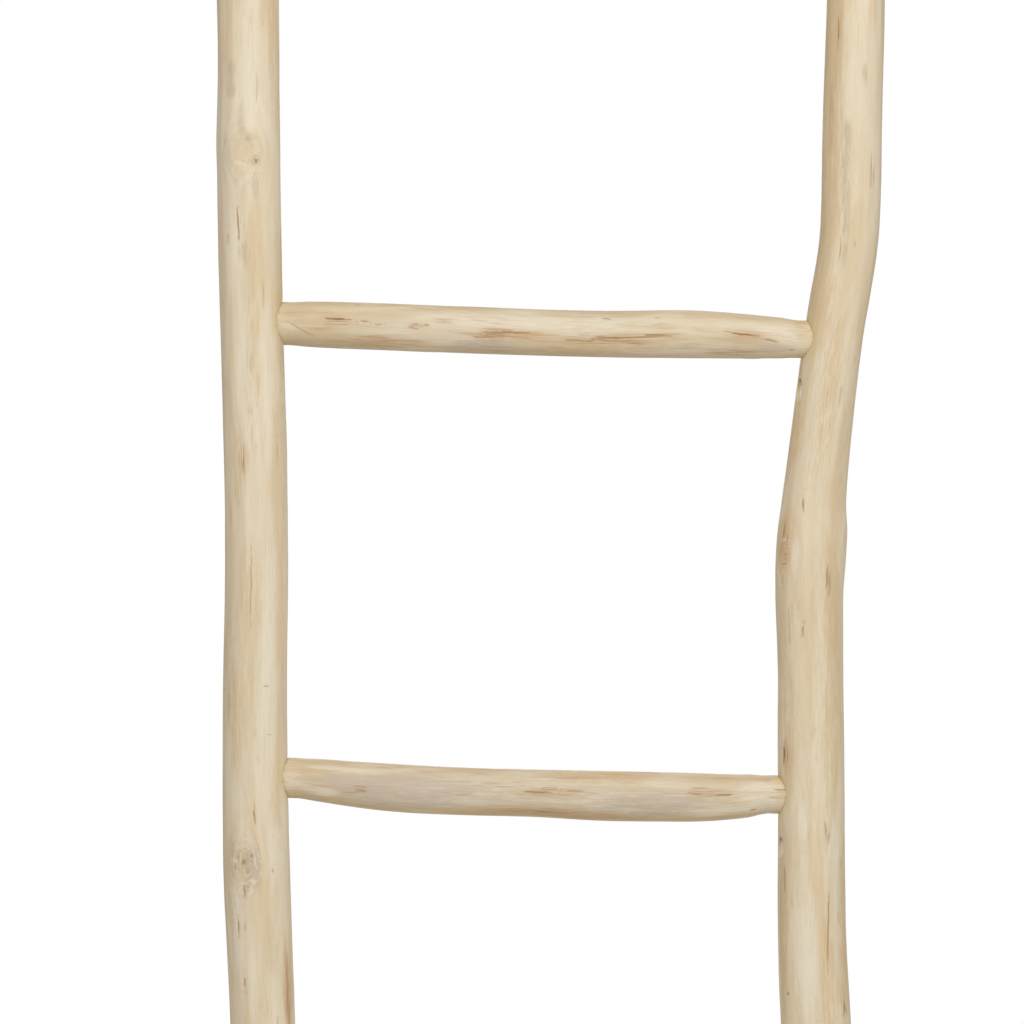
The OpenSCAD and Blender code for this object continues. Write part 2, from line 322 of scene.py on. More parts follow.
# Drying checks and dots: along, bearing in degrees, length, width and lean in mm, and how dark.
# One that is wider than long is a nick across the grain.
CHECKS = {
    "left_stile": [
        (1.127, -19, 24, 0.9, -1, 0.75), (1.080, 26, 20, 0.7, 0, 0.35), (1.264, 8, 12, 0.6, 0, 0.3),
        (0.976, 46, 14, 0.8, 0, 0.35), (0.968, -21, 10, 0.9, 0, 0.5), (0.886, -8, 54, 0.6, 0.5, 0.5),
        (0.8185, 22, 0.8, 4.4, 0, 0.6), (0.786, 28, 0.7, 3.4, 0, 0.45), (0.816, -68, 0.7, 3.6, 0, 0.5),
        (1.185, 1, 3, 2.0, 0, 0.35), (1.170, 15, 3.5, 1.8, 0, 0.7), (1.155, 13, 9, 0.8, 2, 0.3),
        (0.733, 0, 14, 0.9, -1, 0.7), (0.704, -30, 3, 1.4, 0, 0.45), (0.705, -6, 3, 1.4, 0, 0.6),
        (0.697, -36, 3, 1.2, 0, 0.4), (0.695, 30, 4, 0.8, 0, 0.5), (0.682, -20, 6, 0.9, 0, 0.7),
        (0.684, -13, 4, 0.7, 0, 0.5), (0.657, -35, 12, 0.9, 0, 0.7), (0.657, -23, 8, 0.7, 0, 0.4),
        (0.620, -27, 9, 0.9, 0, 0.6), (1.020, 12, 22, 0.5, 1, 0.25),
    ],
    "right_stile": [
        (1.257, -38, 20, 1.1, 0, 0.75), (1.163, 38, 20, 0.8, 0, 0.55), (1.160, 45, 12, 0.6, 0, 0.35),
        (0.941, -22, 12, 0.9, -2, 0.75), (0.891, 28, 15, 1.2, 0, 0.55), (0.887, 34, 14, 0.9, 0, 0.45),
        (0.856, -15, 6, 1.0, 0, 0.6), (0.923, -57, 10, 1.2, 0, 0.6), (0.918, -47, 8, 0.9, 0, 0.45),
        (0.773, -57, 14, 1.7, 0, 0.85), (0.771, -48, 10, 1.0, 0, 0.5), (0.724, 22, 12, 0.9, 0, 0.45),
        (0.716, 29, 12, 0.8, 0, 0.5), (0.688, -54, 22, 0.8, 0, 0.7), (0.656, 25, 58, 0.8, 3, 0.65),
        (0.612, -51, 3, 2.0, 0, 0.7), (0.603, 53, 10, 1.2, 0, 0.8), (0.600, 60, 6, 0.8, 0, 0.5),
        (1.030, -75, 8, 0.8, 0, 0.5), (0.9065, -48, 0.9, 6.5, 0, 0.5), (0.900, -50, 1.0, 4.0, 0, 0.7),
    ],
    "rung_3": [
        (0.078, 2, 10, 0.7, 0, 0.5), (0.079, 12, 9, 0.8, 0, 0.6), (0.199, -5, 22, 0.8, 0, 0.8),
        (0.205, -17, 16, 0.6, 0, 0.4), (0.222, -10, 14, 0.8, 0, 0.5), (0.307, -26, 12, 0.7, 0, 0.5),
        (0.303, -12, 14, 0.8, 1, 0.6), (0.322, -8, 16, 1.0, 1, 0.75), (0.343, 40, 5, 1.3, 0, 0.6),
        (0.360, -17, 9, 0.8, 0, 0.8), (0.358, 9, 10, 0.8, 0, 0.4), (0.360, 58, 9, 0.8, 0, 0.6),
        (0.026, -20, 9, 0.7, 0, 0.35), (0.026, 10, 8, 0.7, 0, 0.35), (0.148, 6, 12, 0.6, 0, 0.35),
    ],
    "rung_4": [
        (0.066, -14, 19, 1.1, 0.5, 0.95), (0.068, 0, 22, 0.5, 0, 0.45), (0.118, -8, 7, 0.8, -1, 0.5),
        (0.084, -9, 7, 0.7, 0, 0.6), (0.093, -3, 6, 0.6, 0, 0.5), (0.042, 16, 18, 0.7, 10, 0.5),
        (0.117, 2, 9, 0.8, 0, 0.5), (0.126, -7, 6, 0.9, 0, 0.6), (0.180, 6, 34, 0.9, -1, 0.7),
        (0.228, 20, 32, 0.8, 0, 0.6), (0.250, 11, 26, 1.0, 0, 0.75), (0.281, 5, 22, 1.0, 0, 0.7),
        (0.267, 26, 16, 0.7, 0, 0.5), (0.246, -41, 7, 0.9, 0, 0.6), (0.281, -43, 6, 0.7, 0, 0.4),
        (0.337, -4, 22, 1.1, 1.5, 0.85), (0.357, 10, 11, 1.0, 2, 0.6), (0.371, 38, 5, 1.0, 0, 0.6),
        (0.166, 19, 24, 0.9, 0, 0.6), (0.172, -1, 20, 0.6, 0, 0.45),
    ],
}

# Stains of each colour: along, bearing in degrees, half the length and half the width in mm, and
# strength. A brown stain is a cluster of thin streaks.
STAINS = {
    "left_stile": {
        "grey": [(1.232, -31, 6, 4, 1.0), (1.218, -32, 7, 4, 1.0), (1.197, -8, 14, 5, 0.8),
            (1.153, 14, 10, 3, 0.9), (1.185, 2, 3.5, 4, 0.9), (1.170, 16, 4, 4, 1.0),
            (1.108, -10, 8, 4, 0.6), (1.036, 0, 8, 3, 0.5), (0.978, 3, 5, 2, 0.6), (1.030, -60, 60, 6, 0.4),
            (0.700, 3, 18, 3, 0.8), (0.703, -46, 20, 4, 0.7), (0.690, -15, 6, 5, 0.5),
            (0.640, 25, 40, 7, 0.4)],
        "lilac": [(0.697, -2, 16, 6, 0.8), (0.702, -28, 10, 7, 0.4)],
        "tan": [(1.265, 50, 60, 4, 0.7), (1.178, -10, 10, 8, 0.4), (1.095, 78, 40, 4, 0.7),
            (0.965, -30, 40, 8, 0.6), (0.885, -22, 40, 9, 0.4), (0.800, -35, 50, 11, 0.55),
            (0.775, 80, 40, 4, 0.3), (0.620, -30, 50, 6, 0.4), (0.700, -28, 10, 7, 0.9)],
        "gold": [(1.075, 68, 12, 6, 0.9), (0.900, 30, 60, 6, 0.25), (0.808, -53, 14, 3, 0.9),
            (1.250, -25, 30, 6, 0.3)],
        "pale": [(1.205, 4, 16, 4, 0.7), (1.230, 5, 60, 9, 0.5), (0.800, 26, 45, 7, 1.0),
            (0.707, 37, 24, 7, 1.0), (1.010, 25, 60, 6, 0.6), (0.880, 30, 50, 7, 0.9)],
        "brown": [(0.971, -20, 12, 3.5, 0.9)],
    },
    "right_stile": {
        "grey": [(1.226, 18, 10, 3, 0.9), (1.188, -13, 12, 4, 0.9), (1.168, -16, 9, 4, 0.8),
            (1.150, -13, 12, 4, 0.8), (1.128, -10, 12, 4, 0.9), (1.106, -10, 10, 4, 0.9),
            (1.013, 28, 8, 3, 0.7), (0.890, 31, 12, 3, 0.7), (0.718, 26, 14, 3, 0.6)],
        "tan": [(0.950, 0, 450, 60, 0.33), (1.250, -57, 60, 12, 1.1), (1.145, -57, 70, 12, 1.1),
            (1.065, -40, 26, 8, 0.8), (0.985, -62, 25, 6, 0.8), (1.020, 0, 60, 8, 0.3),
            (0.915, -45, 22, 8, 0.8), (0.765, -45, 24, 5, 0.7), (0.650, -62, 55, 5, 0.9),
            (0.660, 62, 60, 5, 0.6), (0.850, 40, 60, 7, 0.5)],
        "gold": [(1.064, -66, 8, 6, 1.0), (0.785, 25, 46, 1.4, 0.9), (0.754, -66, 6, 5, 1.0),
            (0.614, 45, 10, 4, 0.9)],
        "pale": [(1.200, 12, 70, 10, 0.2), (1.090, 22, 50, 9, 0.35), (0.905, -30, 12, 2.5, 0.9),
            (0.728, -16, 14, 4, 0.9), (0.715, 42, 20, 5, 0.6), (0.640, -12, 55, 8, 0.9),
            (0.850, -12, 60, 7, 0.3)],
        "brown": [(1.200, -50, 30, 4, 0.5), (0.916, -58, 18, 5, 0.7), (0.772, -52, 12, 4, 0.8)],
    },
    "rung_3": {
        "grey": [(0.352, -48, 3, 3, 0.7)],
        "lilac": [(0.105, 3, 48, 10, 1.2), (0.200, 0, 170, 17, 0.45), (0.280, 18, 34, 7, 0.8)],
        "tan": [(0.200, -45, 150, 8, 0.3), (0.210, -4, 30, 4, 0.8), (0.180, 52, 80, 7, 1.0),
            (0.240, -50, 40, 5, 0.6), (0.300, 55, 50, 6, 1.0)],
        "gold": [(0.040, -45, 15, 5, 0.5), (0.321, -60, 6, 3, 1.0), (0.362, -50, 5, 4, 1.0)],
        "pale": [(0.052, 24, 14, 5, 0.8), (0.028, 0, 14, 9, 0.7), (0.315, 32, 22, 6, 0.8),
            (0.346, 0, 16, 12, 1.0), (0.150, 20, 20, 4, 0.5)],
        "brown": [(0.022, 64, 8, 3, 0.9), (0.200, -6, 28, 3, 0.6), (0.215, 48, 60, 5, 0.8),
            (0.312, -12, 24, 4, 0.55)],
    },
    "rung_4": {
        "lilac": [(0.165, 42, 22, 5, 1.0), (0.360, 28, 14, 5, 0.7)],
        "tan": [(0.055, 28, 20, 7, 0.8), (0.100, 42, 28, 6, 0.9), (0.190, 8, 30, 3, 0.7),
            (0.250, 34, 60, 6, 0.8), (0.360, 10, 10, 4, 0.6)],
        "gold": [(0.378, -45, 6, 5, 1.0), (0.060, -40, 24, 4, 0.5)],
        "pale": [(0.330, -25, 30, 7, 0.6), (0.365, -6, 14, 8, 0.8), (0.155, -25, 45, 7, 0.6),
            (0.235, -20, 50, 7, 0.6)],
        "brown": [(0.068, -12, 12, 3, 0.5), (0.120, -3, 12, 3, 0.35), (0.100, 38, 28, 4, 0.8),
            (0.138, -18, 8, 2, 0.7), (0.175, 12, 30, 5, 0.9), (0.245, 14, 40, 4, 0.8),
            (0.282, 8, 22, 3, 0.7), (0.338, -2, 14, 3, 0.7), (0.335, 47, 26, 4, 0.8)],
    },
}
STAIN_COLOURS = ("grey", "lilac", "tan", "gold", "pale", "brown")
CHECK_GROUND = 2.4 * MM  # how far to each side of a check its own place is kept
PAST_CHECK, PAST_NICK = 2, 6  # mm past its ends; a nick lies between two rows of the mesh


def wrapped(angle):
    return (angle + math.pi) % (2 * math.pi) - math.pi


def random_checks(branch, count, seed):
    """Small checks scattered over the whole branch, as rows of CHECKS."""
    draw = np.random.default_rng(seed)
    rows = []
    for _ in range(count):
        along = draw.uniform(0.01, branch.length - 0.01)
        bearing = draw.uniform(-180, 180)
        length = 5 + 22 * draw.random() ** 2.5
        width = draw.uniform(0.4, 0.9)
        rows.append((along, bearing, length, width, draw.normal(), draw.uniform(0.15, 0.6)))
    return rows


def random_stains(branch, count, seed):
    """Stains scattered over the whole branch: rows of STAINS for each colour."""
    draw = np.random.default_rng(seed)
    rows = {stain: [] for stain in STAIN_COLOURS}
    for _ in range(count):
        stain = STAIN_COLOURS[draw.integers(len(STAIN_COLOURS))]
        along = draw.uniform(0, branch.length)
        half_length = draw.uniform(15, 70)
        half_width = draw.uniform(3, 8)
        bearing = draw.uniform(-180, 180)
        rows[stain].append((along, bearing, half_length, half_width, draw.uniform(0.2, 0.7)))
    return rows


class Marks:
    """Every knot, check and stain on one branch, read at places along and round it."""

    def __init__(self, branch, checks, stains, seed):
        self.seed = seed
        self.thickness = float(np.mean(branch.waves[:, 0].real))
        self.knots = KNOTS.get(branch.name, [])
        self.checks = CHECKS.get(branch.name, []) + random_checks(branch, checks, seed)
        known, drawn = STAINS.get(branch.name, {}), random_stains(branch, stains, seed + 1)
        self.stains = {stain: known.get(stain, []) + drawn[stain] for stain in STAIN_COLOURS}

    def from_spot(self, along, bearing, spot_along, spot_degrees):
        """Millimetres round and along the surface from one spot, at the places that are given."""
        round_it = wrapped(bearing - math.radians(spot_degrees)) * self.thickness
        return round_it / MM, (along - spot_along) / MM

    def in_knots(self, along, bearing):
        """For each knot, where the places are in it, its rim being 1 from its heart, and its row."""
        for knot in self.knots:
            u, v = self.from_spot(along, bearing, *knot[:2])
            yield u / knot[2], v / knot[3], knot

    def knot_place(self, along, bearing):
        """Where each place is in the nearest knot, and how dark the knot is."""
        place = np.tile((9.0, 9.0, 0.0), (len(along), 1))
        for u, v, (*_, darkness) in self.in_knots(along, bearing):
            nearer = np.hypot(u, v) < np.hypot(place[:, 0], place[:, 1])
            place[nearer] = np.column_stack([u, v, np.full(len(u), darkness)])[nearer]
        return place

    def grain(self, along, bearing):
        """Bearings moved so that straight grain drawn on them flows round the knots."""
        flow = bearing.copy()
        for u, v, (_, _, half_width, *_) in self.in_knots(along, bearing):
            away = np.hypot(u, v)
            turn = u * half_width * MM / self.thickness
            flow -= turn * 0.85 / np.maximum(away, 0.7) ** 2 * (away < 6)
        return flow

    def check_place(self, along, bearing):
        """Millimetres across and along from the nearest check, how dark it is there, and its size."""
        place = np.zeros((len(along), 3))
        size = np.tile((1.0, 1.0, 0.0), (len(along), 1))
        nearest = np.ones(len(along))
        for spot_along, degrees, length, width, lean, darkness in self.checks:
            past_ends = PAST_NICK if width > length else PAST_CHECK
            near = np.flatnonzero(np.abs(along - spot_along) < (length / 2 + past_ends) * MM)
            u, v = self.from_spot(along[near], bearing[near], spot_along, degrees)
            u -= lean * v / length
            out = np.maximum(np.abs(u) * MM / CHECK_GROUND, (np.abs(v) - length / 2) / past_ends)
            mine = out < nearest[near]
            near, u, v, out = near[mine], u[mine], v[mine], out[mine]
            nearest[near] = out
            place[near] = np.column_stack([u, v, darkness * eased(2 - 2 * out)])
            size[near] = (length / 2, width / 2, 0)
        return place, size

    def stain_field(self, along, bearing, stain):
        """How strong the stains of one colour are at each place."""
        total = np.zeros(along.shape)
        for spot_along, degrees, half_length, half_width, strength in self.stains[stain]:
            u, v = self.from_spot(along, bearing, spot_along, degrees)
            total += strength * np.exp(-(np.hypot(u / half_width, v / half_length) ** 3))
        return np.clip(total, 0, 1)

    def relief(self, along, bearing):
        """How far the surface stands out from the smooth branch: drawknife flats, ripples and marks."""
        ring = np.stack([np.cos(bearing), np.sin(bearing)], -1) * self.thickness

        def waves(across, length):
            return np.concatenate([ring / across, along[..., None] / length], -1)

        height = SWELLS[0] * fractal(waves(*SWELLS[1:]), self.seed, 3)
        height += FLATS[0] * (0.5 - np.abs(noise(waves(*FLATS[1:]), self.seed + 20)))
        height += RIPPLES[0] * fractal(waves(*RIPPLES[1:]), self.seed + 30, 2)
        for u, v, (*_, lift, _) in self.in_knots(along, bearing):
            away = np.hypot(u, v)
            collar = np.exp(-(((away - 1) / 0.35) ** 2))
            heart = np.exp(-((away / 0.35) ** 2))
            height += lift * MM * (collar - 0.9 * heart)
        return height - CHECK_DEPTH * self.groove(along, bearing)

    def groove(self, along, bearing):
        """How deep in a check each place is, from 0 to 1."""
        depth = np.zeros(along.shape)
        for spot_along, degrees, length, width, lean, darkness in self.checks:
            near = np.abs(along - spot_along) < length / 2 * MM
            u, v = self.from_spot(along[near], bearing[near], spot_along, degrees)
            taper = eased(2 - 2 * np.abs(v) / (length / 2))
            cut = eased(1.6 - np.abs(u - lean * v / length) / (width / 2 + 0.2))
            depth[near] = np.maximum(depth[near], cut * taper * darkness)
        return depth


# -------- meshes

def add_object(name, data):
    """An object in the scene with this mesh, light or camera."""
    thing = bpy.data.objects.new(name, data)
    bpy.context.scene.collection.objects.link(thing)
    return thing


def grid_mesh(name, rings, cap_rings):
    """A closed skin over rings of points; cap_rings gives the rings inwards from each end."""
    first, last = cap_rings
    stack = np.concatenate([first[::-1], rings, last])
    layers, columns = stack.shape[:2]
    points = np.concatenate([stack.reshape(-1, 3), [stack[0].mean(0), stack[-1].mean(0)]])
    here = np.arange(columns)
    after = np.roll(here, -1)
    starts = np.arange(layers - 1)[:, None] * columns
    low, right = (starts + here).ravel(), (starts + after).ravel()
    quads = np.column_stack([low, right, right + columns, low + columns])
    middle = layers * columns
    top = middle - columns
    fans = [(middle, b, a) for a, b in zip(here, after)]
    fans += [(middle + 1, top + a, top + b) for a, b in zip(here, after)]
    mesh = bpy.data.meshes.new(name)
    mesh.from_pydata(points.tolist(), [], quads.tolist() + fans)
    mesh.update()
    return add_object(name, mesh)


def end_inset(from_end):
    """How far a sawn end's rounded edge draws the surface in."""
    short = EDGE - np.clip(from_end, 0, EDGE)
    return EDGE - np.sqrt(EDGE**2 - short**2)


def front_heavy(count, front_share):
    """Bearings once round, closer together at the front, where the share is above a half."""
    even = np.arange(count) / count * 2 * math.pi
    return even - (2 * front_share - 1) * np.sin(even)


def stile_mesh(branch, marks, rungs, side):
    joints = [branch.local(rung.end_of(side))[2] for rung in rungs]
    spots = [(place - 0.01, 0.03) for place in joints]
    spots += [(knot[0], 0.012) for knot in marks.knots]
    rows = spread(EDGE, branch.length - EDGE, *STILE_ROWS, spots)
    edge_rows = EDGE * (1 - np.cos(np.linspace(0, math.pi / 2, 6)[:-1]))
    rows = np.concatenate([edge_rows, rows, branch.length - edge_rows[::-1]])
    columns = front_heavy(*STILE_COLUMNS)
    along, bearing = np.meshgrid(rows, columns, indexing="ij")
    radius = branch.radius(along, bearing) + marks.relief(along, bearing)
    radius -= end_inset(np.minimum(along, branch.length - along))
    skin = branch.place(along, bearing, radius)
    radius -= SOCKET_DIP * np.exp(-((from_sockets(skin, rungs, side) / SOCKET_DIP_WIDTH) ** 2))
    caps = [sawn_end(branch, marks, along[row], columns, radius[row], row == 0) for row in (0, -1)]
    return grid_mesh(f"peeled_{branch.name}", branch.place(along, bearing, radius), caps)


def sawn_end(branch, marks, along, columns, radius, is_foot):
    """Rings across a stile's end, from its edge inwards, with faint saw marks."""
    shares = np.linspace(0, 1, 10)[1:-1][::-1, None]
    bearing = np.broadcast_to(columns, (len(shares), len(columns)))
    marked = np.stack([bearing * 0, shares * np.cos(columns) * 9, shares * np.sin(columns) * 1.5], -1)
    sunk = SAW_SINK + SAW_MARKS * noise(marked, marks.seed + 40)
    return branch.place(along + (sunk if is_foot else -sunk), bearing, radius * shares)


def from_sockets(points, rungs, side):
    """How far each point of a stile is from the edge of the nearest socket, and 1 m far from all."""
    nearest = np.ones(points.shape[:-1])
    for rung in rungs:
        place = rung.local(points)
        away = np.abs(np.hypot(place[..., 0], place[..., 1]) - rung.tenon_radii[SIDES.index(side)])
        inner = place[..., 2] > IN_STILE if side == "left" else place[..., 2] < rung.length - IN_STILE
        nearest = np.where(inner, np.minimum(nearest, away), nearest)
    return nearest


def rung_surface(branch, marks, along, bearing):
    """A rung's radius: its tenons are turned, and the body between them is a peeled branch."""
    body = branch.radius(along, bearing) + marks.relief(along, bearing)
    turned = np.stack([np.cos(bearing) * 3, np.sin(bearing) * 3, along / (6 * MM)], -1)
    tool_marks = 0.05 * MM * noise(turned, marks.seed + 50)
    ends = (branch.stations[0] - along, along - branch.stations[-1])
    for tenon_r, outside in zip(branch.tenon_radii, ends):
        body += (tenon_r + tool_marks - body) * eased(1 + outside / TENON_BLEND)
        body -= SHOULDER_CUT * np.exp(-((outside / SHOULDER_CUT_WIDTH) ** 2))
    return body


def rung_mesh(branch, marks):
    shown = [(place, 0.012) for place in (branch.stations[0], branch.stations[-1])]
    spots = shown + [(knot[0], 0.010) for knot in marks.knots]
    rows = spread(0, branch.length, *RUNG_ROWS, spots)
    columns = front_heavy(*RUNG_COLUMNS)
    along, bearing = np.meshgrid(rows, columns, indexing="ij")
    radius = rung_surface(branch, marks, along, bearing)
    chamfer = np.clip(1 * MM - np.minimum(along, branch.length - along), 0, 1)
    points = branch.place(along, bearing, radius - chamfer)
    caps = []
    for row in (0, -1):
        middle = branch.place(along[row], bearing[row], radius[row] * 0).mean(0)
        caps.append(np.array([middle + (points[row] - middle) * share for share in (0.8, 0.5, 0.2)]))
    return grid_mesh(f"peeled_{branch.name}", points, caps)


def lathe(name, start, direction, outline):
    """A closed solid turned from (distance along, radius) pairs about a line; it cuts holes."""
    sides = 48
    turn = direction.to_track_quat("Z", "Y").to_matrix()
    angles = np.arange(sides) / sides * 2 * math.pi
    ring = np.stack([np.cos(angles), np.sin(angles), angles * 0], -1)
    rings = np.array([ring * radius + (0, 0, far) for far, radius in outline])
    points = np.array(start) + rings @ np.array(turn).T
    no_caps = np.empty((0, sides, 3))
    return grid_mesh(name, points, (no_caps, no_caps))


def tenon_cutters(rungs, side):
    """Cylinders that cut the sockets, each 0.1 mm larger than its tenon all round."""
    cutters = []
    for rung in rungs:
        radius = rung.tenon_radii[SIDES.index(side)] + GLUE_GAP
        if side == "left":
            start, far = -GLUE_GAP, rung.stations[0] + PAST_SHOULDER
        else:
            start, far = rung.stations[-1] - PAST_SHOULDER, rung.length + GLUE_GAP
        line = Vector(rung.rows[2])
        origin = rung.start + line * start
        cutters.append(lathe("socket", origin, line, [(0, radius), (far - start, radius)]))
    return cutters


def pocket_cutter(screw):
    """The slanted pocket below a screw, its countersunk seat, and the pilot hole for its thread."""
    wall = screw.head_r + SCREW_ROOM
    shank = screw.head_r / 2 + 0.05 * MM
    outline = [(-POCKET_REACH, wall), (-SCREW_ROOM, wall), (wall - shank - SCREW_ROOM, shank),
               (screw.length + MM, shank)]
    return lathe("pocket", screw.head, screw.drive, outline)


def cut(piece, cutters):
    """Takes the cutters out of the piece, and removes them."""
    group = bpy.data.collections.new("cutters")
    bpy.context.scene.collection.children.link(group)
    for cutter in cutters:
        bpy.context.scene.collection.objects.unlink(cutter)
        group.objects.link(cutter)
        modifier = piece.modifiers.new("cut", "BOOLEAN")
        modifier.operation = "DIFFERENCE"
        modifier.solver = "MANIFOLD"
        modifier.object = cutter
    graph = bpy.context.evaluated_depsgraph_get()
    mesh = bpy.data.meshes.new_from_object(piece.evaluated_get(graph))
    piece.modifiers.clear()
    piece.data = mesh
    for cutter in cutters:
        bpy.data.objects.remove(cutter)
    bpy.data.collections.remove(group)


def add_fields(piece, branch, marks, from_seam):
    """Stores on the mesh what the wood materials read; from_seam is in metres for each vertex."""
    along, bearing, away = branch.find(read_vectors(piece.data.vertices))
    first, last = branch.stations[0], branch.stations[-1]
    surface = branch.radius(along, bearing)
    depth = np.where((along > first) & (along < last), surface - away, 0) / MM
    flow = marks.grain(along, bearing)
    reach = np.where(depth > FRESH_DEPTH, away, marks.thickness) / MM
    check, check_size = marks.check_place(along, bearing)
    fields = {
        "grain": np.column_stack([np.cos(flow) * reach, np.sin(flow) * reach, along / MM]),
        "from_middle": np.column_stack([np.cos(bearing) * away, np.sin(bearing) * away, away * 0]) / MM,
        "knot": marks.knot_place(along, bearing),
        "check": check,
        "check_size": check_size,
        "depth": depth,
        "seam": from_seam / MM,
    }
    for stain in STAIN_COLOURS:
        fields[f"stain_{stain}"] = marks.stain_field(along, bearing, stain)
    for name, values in fields.items():
        kind, key = ("FLOAT", "value") if values.ndim == 1 else ("FLOAT_VECTOR", "vector")
        field = piece.data.attributes.new(name, kind, "POINT")
        field.data.foreach_set(key, values.astype(np.float32).ravel())


def finish_mesh(piece, branch, wood, ends):
    """Gives the piece its wood, and the faces at its two ends the material for end grain."""
    mesh = piece.data
    mesh.materials.clear()
    mesh.materials.append(wood)
    mesh.materials.append(ends)
    along = branch.local(read_vectors(mesh.polygons, "center"))[:, 2]
    on_end = np.minimum(along, branch.length - along) < END_FACES
    mesh.polygons.foreach_set("material_index", on_end.astype(np.int32))
    mesh.shade_smooth()
    mesh.set_sharp_from_angle(angle=math.radians(38))


# -------- materials

def colour(red, green, blue):
    """A linear colour from display values of 11 to 255."""
    return tuple(((value / 255 + 0.055) / 1.055) ** 2.4 for value in (red, green, blue)) + (1,)


class Shading:
    """The node tree of one material, with short ways to add what these materials use."""

    def __init__(self, name):
        self.material = bpy.data.materials.new(name)
        self.material.use_nodes = True
        self.tree = self.material.node_tree
        self.surface = self.tree.nodes["Principled BSDF"]

    def coat(self, sockets):
        """Sets or links the surface's own sockets, and gives the finished material."""
        for name, value in sockets.items():
            self.plug(self.surface.inputs[name], value)
        return self.material

    def add(self, kind, sockets, output=0, **settings):
        node = self.tree.nodes.new(f"ShaderNode{kind}")
        for key, value in settings.items():
            setattr(node, key, value)
        for key, value in sockets.items():
            self.plug(node.inputs[key], value)
        return node.outputs[output]

    def plug(self, socket, value):
        if isinstance(value, bpy.types.NodeSocket):
            self.tree.links.new(value, socket)
        else:
            socket.default_value = value

    def field(self, name, vector=False):
        return self.add("Attribute", {}, output=1 if vector else 2, attribute_name=name)

    def noise(self, vector, across, along, detail, roughness=0.5):
        """Noise with waves of this size across and along the vector, in the vector's own unit."""
        scale = (1 / across, 1 / across, 1 / along)
        vector = self.add("VectorMath", {0: vector, 1: scale}, operation="MULTIPLY")
        sockets = {"Vector": vector, "Scale": 1.0, "Detail": detail, "Roughness": roughness}
        return self.add("TexNoise", sockets)

    def spread(self, value, low, high, to_low=0.0, to_high=1.0):
        sockets = {"Value": value, "From Min": low, "From Max": high, "To Min": to_low, "To Max": to_high}
        return self.add("MapRange", sockets, interpolation_type="SMOOTHSTEP")

    def math(self, operation, *values, clamp=False):
        return self.add("Math", dict(enumerate(values)), operation=operation, use_clamp=clamp)

    def times(self, *values):
        """The product of all the values."""
        total = values[0]
        for value in values[1:]:
            total = self.math("MULTIPLY", total, value)
        return total

    def mix(self, share, base, over):
        """The base with a share of another colour over it; either may be three display values."""
        base, over = (colour(*c) if isinstance(c, tuple) else c for c in (base, over))
        return self.add("Mix", {"Factor": share, 6: base, 7: over}, output=2, data_type="RGBA")

    def bump(self, height, distance, strength, normal=None):
        sockets = {"Height": height, "Distance": distance, "Strength": strength}
        if normal is not None:
            sockets["Normal"] = normal
        return self.add("Bump", sockets)


def peeled_wood(name, pale, warm, streaked):
    """Dry peeled branch wood: bands, smudges, streaks, stains, knots, checks, glued seams with painted shade
    along them, and pale cut walls with painted light.
    """
    s = Shading(name)
    grain = s.field("grain", vector=True)
    base = wood_bands(s, grain, pale, warm)
    base = wood_stains(s, grain, base)
    base = wood_streaks(s, grain, base, streaked)
    base = wood_knots(s, grain, base)
    base, cracks = wood_checks(s, grain, base)
    base = wood_cuts(s, grain, base)
    fibres = s.noise(grain, 0.7, 18, 3.0, 0.65)
    base = s.mix(s.spread(fibres, 0.35, 0.70, 0.0, 0.10), base, (190, 164, 128))
    roughness = s.spread(fibres, 0.3, 0.7, 0.62, 0.78)
    fine = s.bump(fibres, 0.10 * MM, 0.5)
    coarse = s.bump(s.noise(grain, 2.4, 26, 3.0, 0.6), 0.5 * MM, 0.45, fine)
    relief = s.bump(s.math("SUBTRACT", 1.0, cracks), 0.5 * MM, 0.8, coarse)
    return s.coat({"Base Color": base, "Roughness": roughness, "Specular IOR Level": 0.28, "Normal": relief})


def wood_bands(s, grain, pale, warm):
    """Long pale and warm bands, cream clouds, and small grey smudges in groups."""
    bands = s.spread(s.noise(grain, 11, 130, 3.0), 0.36, 0.64)
    base = s.mix(bands, pale, warm)
    clouds = s.spread(s.noise(grain, 6.5, 45, 3.0, 0.55), 0.44, 0.68, 0.0, 0.50)
    base = s.mix(clouds, base, (228, 218, 196))
    group = s.spread(s.noise(grain, 12, 70, 1.0), 0.48, 0.66)
    smudges = s.spread(s.noise(grain, 1.8, 9, 3.0, 0.6), 0.50, 0.66, 0.0, 0.45)
    return s.mix(s.times(group, smudges), base, (196, 180, 150))


def wood_stains(s, grain, base):
    """Stains with ragged ends and edges along the grain."""
    ragged = s.spread(s.noise(grain, 1.3, 14, 5.0, 0.7), 0.3, 0.7, -0.7, 0.5)
    looks = {
        "tan": ((207, 181, 142), 0.75), "grey": ((192, 176, 146), 0.65),
        "lilac": ((193, 179, 163), 0.85), "gold": ((204, 184, 132), 0.50),
        "pale": ((227, 217, 197), 0.80),
    }
    for stain, (tint, most) in looks.items():
        reach = s.math("MULTIPLY_ADD", s.field(f"stain_{stain}"), ragged, s.field(f"stain_{stain}"))
        base = s.mix(s.spread(reach, 0.10, 0.90, 0.0, most), base, tint)
    return base


